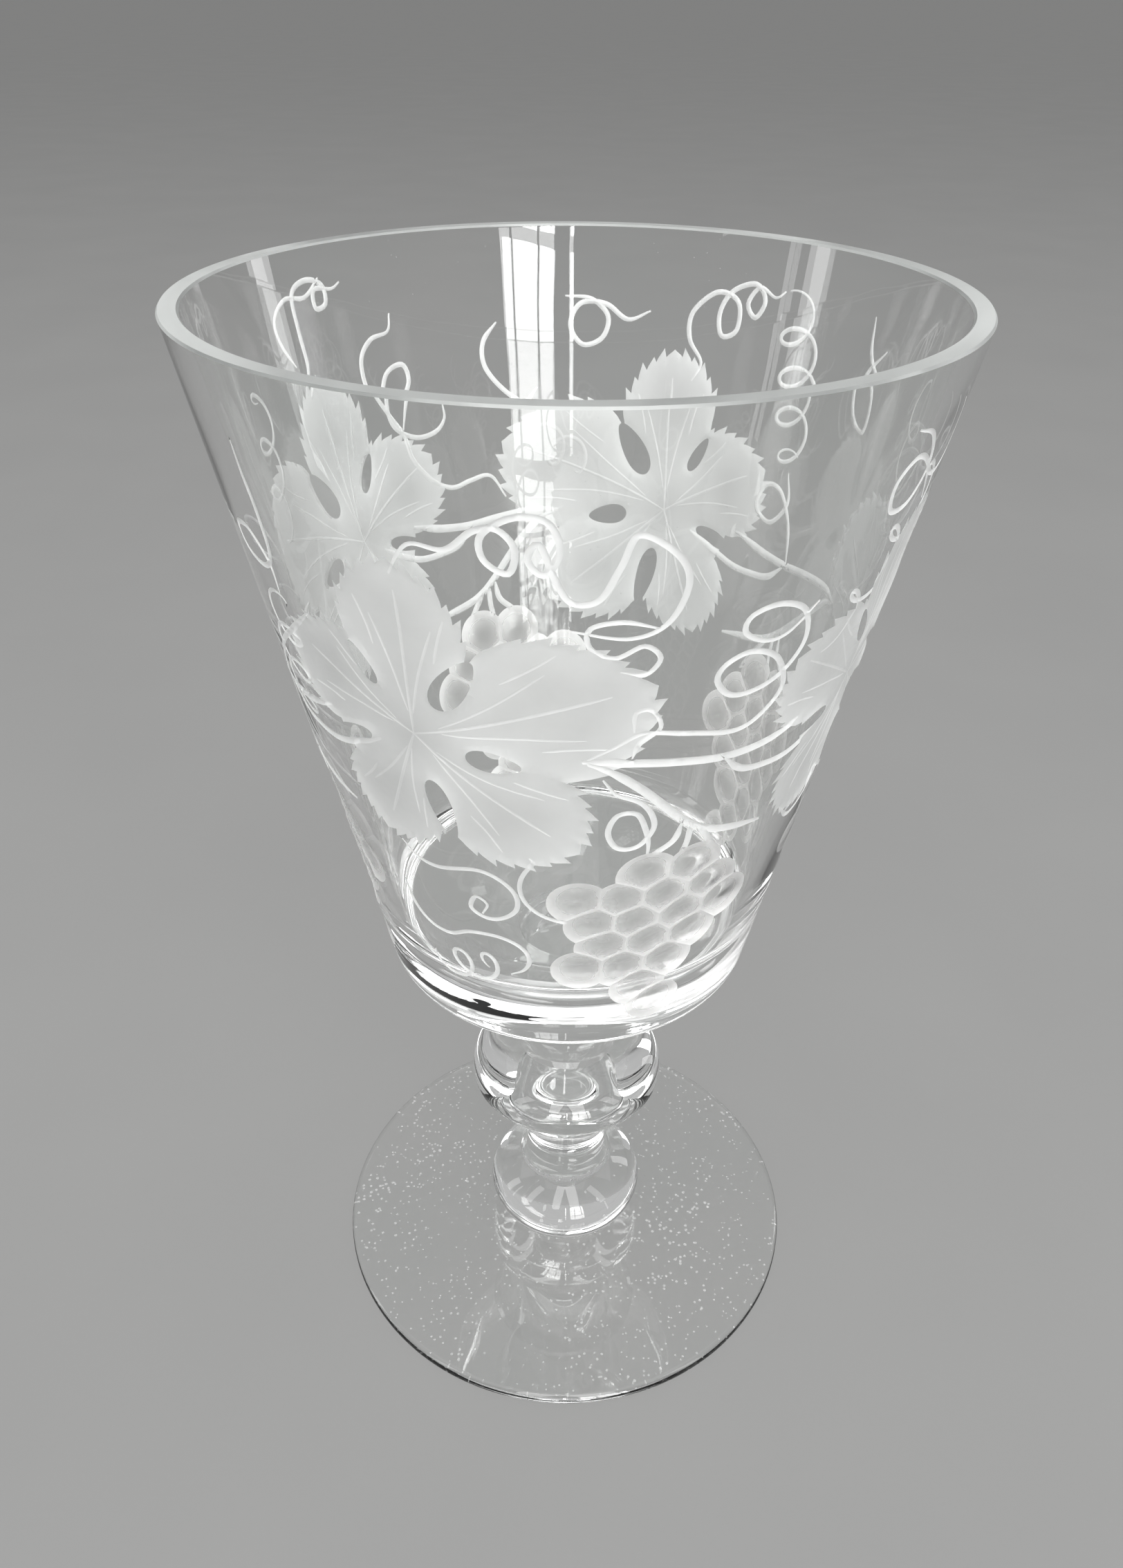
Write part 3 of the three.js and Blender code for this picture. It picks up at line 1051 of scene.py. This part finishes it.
# ------------ the goblet
def make_goblet():
    """All six pieces, in a collection of their own, so that some lights can be for them alone."""
    bpy.data.collections.new("goblet")
    lower_rise, lower_power = LOWER_KNOP["lower"]
    sunk = (LOWER_KNOP["z"] - high("foot")) / lower_rise
    foot_seam = reach("lower_knop") * (1 - sunk ** lower_power) ** (1 / lower_power)
    foot = [(0, 0), *foot_outline(foot_seam), (0, high("foot"))]
    plain_piece("foot", foot, ["high"], foot_crystal)
    stem = [
        ("lower_knop", knop_outline(LOWER_KNOP, foot_seam, SEAM_RADIUS)),
        ("lower_neck", neck_outline("lower_neck", SEAM_RADIUS, NECK_BASE_RADIUS)),
        ("upper_knop", knop_outline(UPPER_KNOP, NECK_BASE_RADIUS, SEAM_RADIUS)),
        ("upper_neck", neck_outline("upper_neck", SEAM_RADIUS, SEAM_RADIUS)),
    ]
    for node, outline in stem:
        closed = [(0, low(node)), *outline, (0, high(node))]
        plain_piece(node, closed, ["low", "high"], crystal)
    bowl_piece()


# ------------ floor, light and camera
# From here on in metres and watts.
FLOOR_SIZE = 160.0
FLOOR_GAP = 0.0002  # a film of air under the foot, so that glass and paper never touch
LIGHTS_AIM = (0, 0, 0.15)
# The window in front, as panes: each column's turn and width, and each row's height and power.
PANE_COLUMNS = ((10, 0.16), (18, 0.24), (24.5, 0.08), (1, 0.035))
PANE_ROWS = ((0.85, 3.0), (0.5, 2.8), (0.15, 2.2))
PANE_DISTANCE = 1.6
PANE_TALL = 0.32
FULL_PANE = 0.24  # the width that a row's power is for
# The room's brightness, from eye level to overhead: sine of the height, and tone.
ROOM = [(0.0, 0.17), (0.14, 0.42), (0.5, 0.5)]
CAMERA_PLACE = (0.0, -0.2227, 0.28865)
CAMERA_PITCH = 0.584  # downwards, in radians
CAMERA_YAW = 0.0082
CAMERA_ROLL = 0.0075
CAMERA_LENS = 28.0  # on a 36 mm long side


def make_floor_object():
    """The pale floor, far wider than any view of the goblet."""
    bpy.ops.mesh.primitive_plane_add(size=FLOOR_SIZE, location=(0, 0, -FLOOR_GAP))
    floor = bpy.context.object
    floor.name = "floor"
    floor.data.materials.append(make_floor())


def softbox(name, turn, distance, height, width, tall, watts, goblet_only=False):
    """A soft light that faces the goblet, at a turn round it from the front, in degrees."""
    light = bpy.data.lights.new(name, "AREA")
    light.shape = "RECTANGLE"
    light.size = width
    light.size_y = tall
    light.energy = watts
    lamp = bpy.data.objects.new(name, light)
    angle = math.radians(turn)
    lamp.location = (distance * math.sin(angle), -distance * math.cos(angle), height)
    lamp.rotation_euler = (lamp.location - Vector(LIGHTS_AIM)).to_track_quat("Z", "Y").to_euler()
    lamp.visible_camera = False
    bpy.context.scene.collection.objects.link(lamp)
    if goblet_only:
        lamp.light_linking.receiver_collection = bpy.data.collections["goblet"]


def make_lights():
    """Soft windows round the goblet; some shine on the goblet alone, to be mirrored in it."""
    for column, (turn, width) in enumerate(PANE_COLUMNS):
        for row, (height, power) in enumerate(PANE_ROWS):
            name = f"front_window_{column}_{row}"
            watts = power * width / FULL_PANE
            softbox(name, turn, PANE_DISTANCE, height, width, PANE_TALL, watts, True)
    softbox("left_window", -88, 1.5, 0.5, 0.22, 0.9, 2.0, True)
    softbox("left_window_edge", -77, 1.5, 0.5, 0.05, 0.9, 0.4, True)
    softbox("right_window", 120, 1.5, 0.5, 0.22, 0.9, 2.0, True)
    softbox("high_window_left", -14, 1.29, 1.68, 0.36, 1.9, 9)
    softbox("high_window_right", 15, 1.29, 1.68, 0.46, 1.9, 12)
    for name, turn in (("side_window_left", -55), ("side_window_right", 58)):
        softbox(name, turn, 1.6, 1.3, 0.3, 1.4, 3.5, True)
    softbox("ceiling", 0, 0.01, 2.4, 2.0, 2.0, 7)


def make_room():
    """A grey room all round, which the glass mirrors and refracts."""
    world = bpy.data.worlds.new("room")
    world.use_nodes = True
    nodes, links = world.node_tree.nodes, world.node_tree.links
    direction = nodes.new("ShaderNodeTexCoord").outputs["Generated"]
    split = nodes.new("ShaderNodeSeparateXYZ")
    ramp = nodes.new("ShaderNodeValToRGB")
    links.new(direction, split.inputs["Vector"])
    links.new(split.outputs["Z"], ramp.inputs["Fac"])
    links.new(ramp.outputs["Color"], nodes["Background"].inputs["Color"])
    stops = ramp.color_ramp.elements
    stops.new(0.5)
    for stop, (rise, tone) in zip(stops, ROOM):
        stop.position = rise
        stop.color = (tone, tone, tone, 1)
    bpy.context.scene.world = world


def make_camera():
    """The camera, at the photograph's viewing angle."""
    data = bpy.data.cameras.new("camera")
    data.sensor_width = 36
    data.lens = CAMERA_LENS
    data.clip_start = 0.01
    data.clip_end = 200
    camera = bpy.data.objects.new("camera", data)
    turn = Matrix.Rotation(CAMERA_YAW, 4, "Z")
    tilt = Matrix.Rotation(math.pi / 2 - CAMERA_PITCH, 4, "X")
    roll = Matrix.Rotation(CAMERA_ROLL, 4, "Z")
    camera.matrix_world = Matrix.Translation(CAMERA_PLACE) @ turn @ tilt @ roll
    bpy.context.scene.collection.objects.link(camera)
    bpy.context.scene.camera = camera


def set_light_paths():
    """Enough bounces for light to find its way through six solid pieces of glass."""
    cycles = bpy.context.scene.cycles
    cycles.max_bounces = 24
    cycles.transmission_bounces = 24
    cycles.glossy_bounces = 8
    cycles.diffuse_bounces = 3
    cycles.transparent_max_bounces = 32
    cycles.caustics_reflective = False
    cycles.caustics_refractive = False
    cycles.sample_clamp_indirect = 8
    cycles.use_denoising = True
    bpy.context.scene.view_settings.view_transform = "Standard"


make_camera()
make_floor_object()
make_goblet()
make_lights()
make_room()
set_light_paths()
